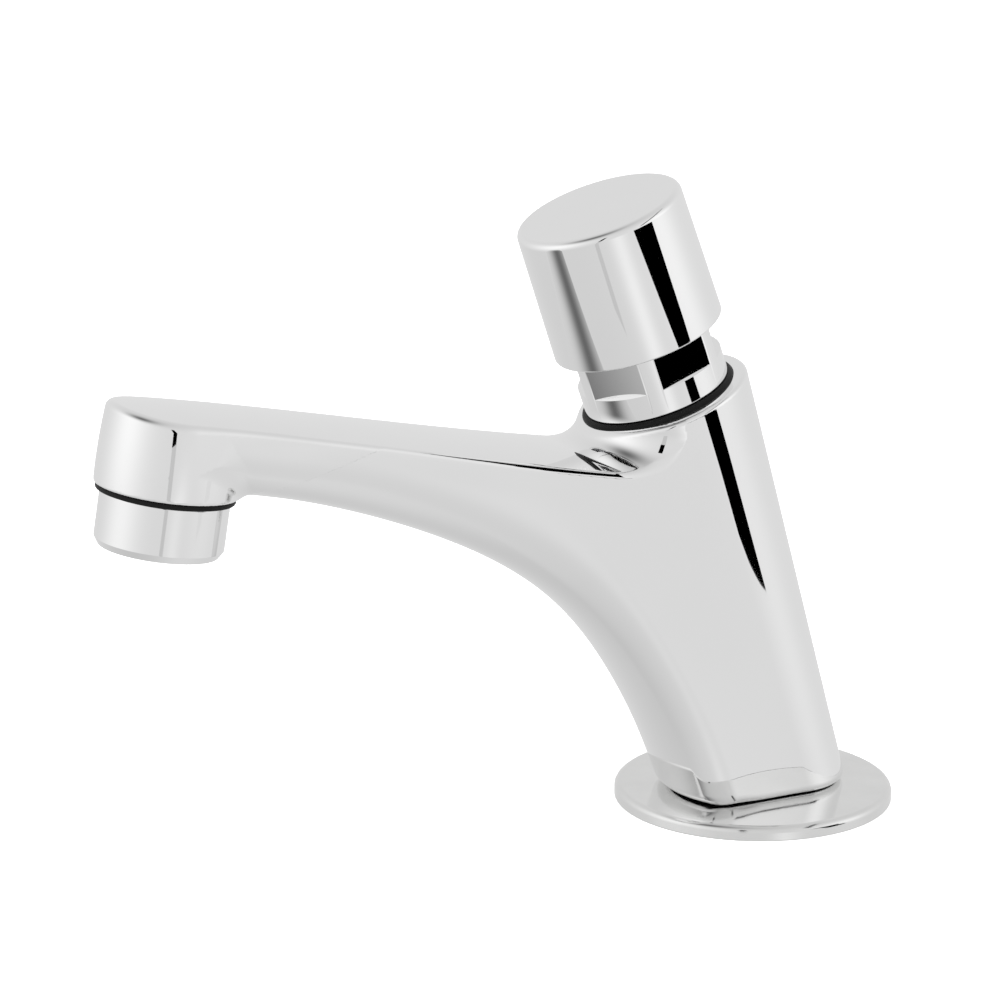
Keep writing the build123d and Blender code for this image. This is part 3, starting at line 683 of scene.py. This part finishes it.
# The aerator's housing and the black ring above it
HOUSING_BORE = 11.05
HOUSING_RADIUS = 12.0
HOUSING_WALL = -8.85
HOUSING_LOW = -10.25
HOUSING_LOW_RADIUS = 11.1
LEDGE_RADIUS = 9.5
LEDGE_TOP = -7.4
GASKET_RADIUS = 12.9
housing = turned(
    "outlet_housing",
    (
        (HOUSING_BORE, 0, 0.1), (HOUSING_RADIUS, 0, 0.25), (HOUSING_RADIUS, HOUSING_WALL, 0.15),
        (HOUSING_LOW_RADIUS, HOUSING_LOW, 0.2), (LEDGE_RADIUS, HOUSING_LOW, 0.25),
        (LEDGE_RADIUS, LEDGE_TOP, 0), (HOUSING_BORE, LEDGE_TOP, 0),
    ),
    OUTLET,
    256,
)
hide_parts("aerator_housing")
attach(housing, "body")
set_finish(housing, "turned_chrome")

gasket = turned(
    "outlet_gasket",
    (
        (HOUSING_BORE, 0, 0), (GASKET_RADIUS, 0, 0.3), (GASKET_RADIUS, HEAD_LOW, 0.3),
        (HOUSING_BORE, HEAD_LOW, 0),
    ),
    OUTLET,
    192,
)
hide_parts("aerator_gasket")
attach(gasket, "body")
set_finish(gasket, "black_rubber")

# The return spring, built at one length only; the real one shortens as the button goes down
SPRING_LOW = 55.0
SPRING_TOP = 77.6
SPRING_RADIUS = 7.0
SPRING_TURNS = 8
WIRE_RADIUS = 0.55


def wound_spring(name, steps=48, around=12):
    """One wire wound round the valve axis, with a closed turn at each end."""
    turn = np.linspace(0, SPRING_TURNS, SPRING_TURNS * steps + 1)
    open_part = smooth_step(turn, 0.6, 1.4) * smooth_step(SPRING_TURNS - turn, 0.6, 1.4)
    climb = np.concatenate(([0], np.cumsum(open_part[1:] / steps)))
    closed_height = SPRING_TURNS * 2 * WIRE_RADIUS
    free_height = SPRING_TOP - SPRING_LOW - 2 * WIRE_RADIUS - closed_height
    rise = turn / SPRING_TURNS * closed_height + climb / climb[-1] * free_height
    levels = SPRING_LOW + WIRE_RADIUS + rise
    points = []
    for angle, level in zip(turn * 2 * pi, levels):
        for k in range(around):
            off = 2 * pi * k / around
            radius = SPRING_RADIUS + WIRE_RADIUS * cos(off)
            points.append((radius * cos(angle), radius * sin(angle), level + WIRE_RADIUS * sin(off)))
    faces = []
    for here in range(0, (len(turn) - 1) * around, around):
        after = here + around
        for k in range(around):
            n = (k + 1) % around
            faces.append((here + k, here + n, after + n, after + k))
    last = (len(turn) - 1) * around
    faces += [tuple(range(around))[::-1], tuple(range(last, last + around))]
    spring = make_mesh(name, to_row(points, VALVE), faces)
    outward(spring)
    spring.data.shade_smooth()
    spring.data.set_sharp_from_angle(angle=radians(40))
    return spring


spring = wound_spring("wound_spring")
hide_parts("return_spring")
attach(spring, "body")
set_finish(spring, "spring_steel")
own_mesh(spring)


# Materials
def material(name):
    """A new material, its nodes and links, and its shader."""
    made = bpy.data.materials.new(name)
    made.use_nodes = True
    shader = made.node_tree.nodes["Principled BSDF"]
    return made, made.node_tree.nodes, made.node_tree.links, shader


def noise(tree, links, scale, detail=4, stretch=(1, 1, 1)):
    """Noise in the piece's own coordinates, in metres."""
    where = tree.new("ShaderNodeTexCoord")
    mapping = tree.new("ShaderNodeMapping")
    mapping.inputs["Scale"].default_value = stretch
    texture = tree.new("ShaderNodeTexNoise")
    texture.inputs["Scale"].default_value = scale
    texture.inputs["Detail"].default_value = detail
    links.new(where.outputs["Object"], mapping.inputs["Vector"])
    links.new(mapping.outputs["Vector"], texture.inputs["Vector"])
    return texture


def spread(tree, links, source, low, high):
    """Maps a 0 to 1 value to a range."""
    node = tree.new("ShaderNodeMapRange")
    node.inputs["From Min"].default_value = 0.3
    node.inputs["From Max"].default_value = 0.7
    node.inputs["To Min"].default_value = low
    node.inputs["To Max"].default_value = high
    links.new(source, node.inputs["Value"])
    return node.outputs["Result"]


def vary(tree, links, shader, texture, color, shade, rough_low, rough_high):
    """Varies a shader's colour and roughness with a texture."""
    factor = texture.outputs["Fac"]
    ramp = tree.new("ShaderNodeValToRGB")
    dark, light = ramp.color_ramp.elements
    dark.position, light.position = 0.3, 0.7
    dark.color = tuple(c * (1 - shade) for c in color) + (1,)
    light.color = tuple(color) + (1,)
    links.new(factor, ramp.inputs["Fac"])
    links.new(ramp.outputs["Color"], shader.inputs["Base Color"])
    links.new(spread(tree, links, factor, rough_low, rough_high), shader.inputs["Roughness"])


def relieve(tree, links, shader, texture, strength, height):
    """Gives a shader relief from a texture, with its height in metres."""
    relief = tree.new("ShaderNodeBump")
    relief.inputs["Strength"].default_value = strength
    relief.inputs["Distance"].default_value = height
    links.new(texture.outputs["Fac"], relief.inputs["Height"])
    links.new(relief.outputs["Normal"], shader.inputs["Normal"])


def metal(name, color, rough_low, rough_high, grain, bump=0.0, stretch=(1, 1, 1), shade=0.06):
    """Metal with slight variation in colour, roughness and surface."""
    made, tree, links, shader = material(name)
    shader.inputs["Metallic"].default_value = 1.0
    texture = noise(tree, links, grain, 5, stretch)
    vary(tree, links, shader, texture, color, shade, rough_low, rough_high)
    if bump:
        fine = noise(tree, links, grain * 3, 3, stretch)
        relieve(tree, links, shader, fine, bump, 0.00002)
    return made


def soft(name, color, roughness, grain, bump, shade=0.25, gloss=0.5):
    """Rubber or plastic with a fine moulded skin."""
    made, tree, links, shader = material(name)
    shader.inputs["Specular IOR Level"].default_value = gloss
    texture = noise(tree, links, grain, 4)
    vary(tree, links, shader, texture, color, shade, roughness * 0.9, roughness * 1.1)
    relieve(tree, links, shader, texture, bump, 0.00005)
    return made


finishes = {
    "cast_chrome": metal("cast_chrome", (0.90, 0.90, 0.90), 0.012, 0.03, 40, shade=0.012),
    "button_chrome": metal("button_chrome", (0.90, 0.90, 0.90), 0.012, 0.03, 60, shade=0.012),
    "turned_chrome": metal("turned_chrome", (0.89, 0.89, 0.89), 0.02, 0.045, 80, shade=0.012),
    "satin_steel": metal("satin_steel", (0.82, 0.82, 0.815), 0.07, 0.13, 110, 0.06, shade=0.06),
    "black_rubber": soft("black_rubber", (0.006, 0.006, 0.006), 0.45, 900, 0.2, gloss=0.12),
    "raw_brass": metal("raw_brass", (0.75, 0.58, 0.30), 0.22, 0.38, 260, 0.4, (1, 1, 6)),
    "stainless": metal("stainless", (0.66, 0.66, 0.66), 0.2, 0.32, 300, 0.3, (1, 1, 5)),
    "spring_steel": metal("spring_steel", (0.55, 0.55, 0.57), 0.15, 0.25, 500, 0.2),
    "white_plastic": soft("white_plastic", (0.86, 0.86, 0.84), 0.42, 500, 0.15, 0.06),
    "grey_plastic": soft("grey_plastic", (0.60, 0.61, 0.62), 0.42, 500, 0.15, 0.08),
}


def paint(piece, finish):
    """Gives a piece one finish."""
    piece.data.materials.clear()
    piece.data.materials.append(finishes[finish])


node_slots = {part["node"]: part["material_slot"] for part in frame["record"]["subparts"]}
for name, node in nodes.items():
    paint(node, node_slots[name])
for piece in (body, nose, button, collar, ring, flange, tail, housing, gasket, spring):
    paint(piece, piece["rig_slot"])

# Camera at the photograph's angle
CAMERA_AZIMUTH = 66.11
CAMERA_ELEVATION = 15.12
CAMERA_DISTANCE = 715.0
CAMERA_TARGET = (0, -54.97, 66.61)
FOCAL_LENGTH = 136.27
SENSOR_WIDTH = 36


def direction(azimuth, elevation):
    """A unit vector, with the azimuth from -Y towards +X, both in degrees."""
    a, e = radians(azimuth), radians(elevation)
    return Vector((sin(a) * cos(e), -cos(a) * cos(e), sin(e)))


camera_data = bpy.data.cameras.new("camera")
camera_data.lens = FOCAL_LENGTH
camera_data.sensor_width = SENSOR_WIDTH
camera = bpy.data.objects.new("camera", camera_data)
bpy.context.scene.collection.objects.link(camera)
toward = direction(CAMERA_AZIMUTH, CAMERA_ELEVATION)
camera.location = (Vector(CAMERA_TARGET) + toward * CAMERA_DISTANCE) * MM
camera.rotation_euler = (-toward).to_track_quat("-Z", "Y").to_euler()
bpy.context.scene.camera = camera

# Floor and light
FLOOR_HALF = 3000
floor_corners = [(x * FLOOR_HALF, y * FLOOR_HALF, 0) for x, y in ((-1, -1), (1, -1), (1, 1), (-1, 1))]
floor = make_mesh("floor", floor_corners, [(0, 1, 2, 3)])
floor_paint, tree, links, shader = material("floor")
shader.inputs["Base Color"].default_value = (0.92, 0.92, 0.92, 1)
shader.inputs["Roughness"].default_value = 0.9
shader.inputs["Emission Color"].default_value = (1, 1, 1, 1)
shader.inputs["Emission Strength"].default_value = 0.3
floor.data.materials.append(floor_paint)
floor.visible_glossy = False

# soft lights round the tap, seen in the chrome: azimuth, elevation, strength and tightness
LOBES = (
    (-6, 16, 0.34, 5.0), (145, 15, 0.31, 10.0), (90, -22, 0.2, 60.0), (147, -83, 0.27, 6.0),
    (2, 58, -0.6, 14.0), (-31, -85, -0.41, 2.2), (10, 81, -0.2, 1.2),
)
BASE_LIGHT = 0.87


def studio():
    """A pale tent: white behind the tap, and soft bright and grey parts in the reflections."""
    world = bpy.data.worlds.new("studio")
    world.use_nodes = True
    tree, links = world.node_tree.nodes, world.node_tree.links
    where = tree.new("ShaderNodeTexCoord")
    total = None
    for azimuth, elevation, strength, tightness in LOBES:
        facing = tree.new("ShaderNodeVectorMath")
        facing.operation = "DOT_PRODUCT"
        facing.inputs[1].default_value = direction(azimuth, elevation)
        links.new(where.outputs["Generated"], facing.inputs[0])
        fall = tree.new("ShaderNodeMath")
        fall.operation = "MULTIPLY_ADD"
        fall.inputs[1].default_value = tightness
        fall.inputs[2].default_value = -tightness
        links.new(facing.outputs["Value"], fall.inputs[0])
        lobe = tree.new("ShaderNodeMath")
        lobe.operation = "EXPONENT"
        links.new(fall.outputs[0], lobe.inputs[0])
        add = tree.new("ShaderNodeMath")
        add.operation = "MULTIPLY_ADD"
        add.inputs[1].default_value = strength
        add.inputs[2].default_value = BASE_LIGHT
        links.new(lobe.outputs[0], add.inputs[0])
        if total is not None:
            links.new(total, add.inputs[2])
        total = add.outputs[0]
    path = tree.new("ShaderNodeLightPath")
    choice = tree.new("ShaderNodeMix")
    choice.data_type = "FLOAT"
    choice.inputs["B"].default_value = 1.0
    links.new(path.outputs["Is Camera Ray"], choice.inputs["Factor"])
    links.new(total, choice.inputs["A"])
    links.new(choice.outputs["Result"], tree["Background"].inputs["Color"])
    bpy.context.scene.world = world


def reflected_only(card, brightness):
    """Makes a card that only the reflections see, of an even brightness."""
    plain, tree, links, shader = material(card.name)
    shader.inputs["Base Color"].default_value = (0, 0, 0, 1)
    shader.inputs["Specular IOR Level"].default_value = 0
    shader.inputs["Emission Color"].default_value = (1, 1, 1, 1)
    shader.inputs["Emission Strength"].default_value = brightness
    card.data.materials.append(plain)
    card.visible_camera = False
    card.visible_diffuse = False
    card.visible_shadow = False


def hang_card(name, distance, azimuth, outline, brightness=0.0):
    """A card beside the tap, facing it. Its outline is across and up."""
    out, across = direction(azimuth, 0), direction(azimuth + 90, 0)
    points = [distance * out + u * across + Vector((0, 0, level)) for u, level in outline]
    card = make_mesh(name, points, [tuple(range(len(points)))])
    reflected_only(card, brightness)


studio()
# the reflections pass through the floor, so they leave out the parts under it
under_deck = [nodes[name] for name in ("inlet_filter", "deck_washer", "clamp_washer", "back_nut")]
for piece in (tail, *under_deck):
    piece.visible_glossy = False
# the black and grey cards that the photograph's chrome shows
hang_card(
    "card_side",
    600,
    130,
    (
        (117, -124), (116, -70), (98, -38), (30, 12), (50, 52), (46, 100), (-150, 64), (-152, 34),
        (-270, 26), (-270, -4), (-148, -12), (-62, -132), (-60, -156), (-25, -154),
    ),
)
hang_card(
    "card_above",
    300,
    130,
    (
        (-132, 170), (-98, 264), (-44, 364), (86, 572), (240, 760), (262, 742), (112, 548), (-14, 344),
        (-66, 252), (-102, 168),
    ),
)
hang_card("card_front", 377, 55, ((-18, 82), (16, 82), (16, 250), (-18, 250)))
# as bright as the tent behind it, this keeps the side card's tip out of the head's reflections
hang_card("card_fill", 150, 130, ((-90, -6), (-61, -6), (-61, 17), (-90, 17)), 0.77)
hang_card("card_grey", 377, 55, ((-12, -90), (20, -90), (20, 82), (-16, 82)), 0.6)

softbox = bpy.data.lights.new("softbox", "AREA")
softbox.shape = "DISK"
softbox.size = 1.6
softbox.energy = 30
overhead = bpy.data.objects.new("softbox", softbox)
overhead.location = (0.3, -0.4, 1.3)
toward_tap = Vector((0, -0.05, 0)) - overhead.location
overhead.rotation_euler = toward_tap.to_track_quat("-Z", "Y").to_euler()
overhead.visible_glossy = False
bpy.context.scene.collection.objects.link(overhead)
bpy.context.scene.view_settings.view_transform = "Standard"
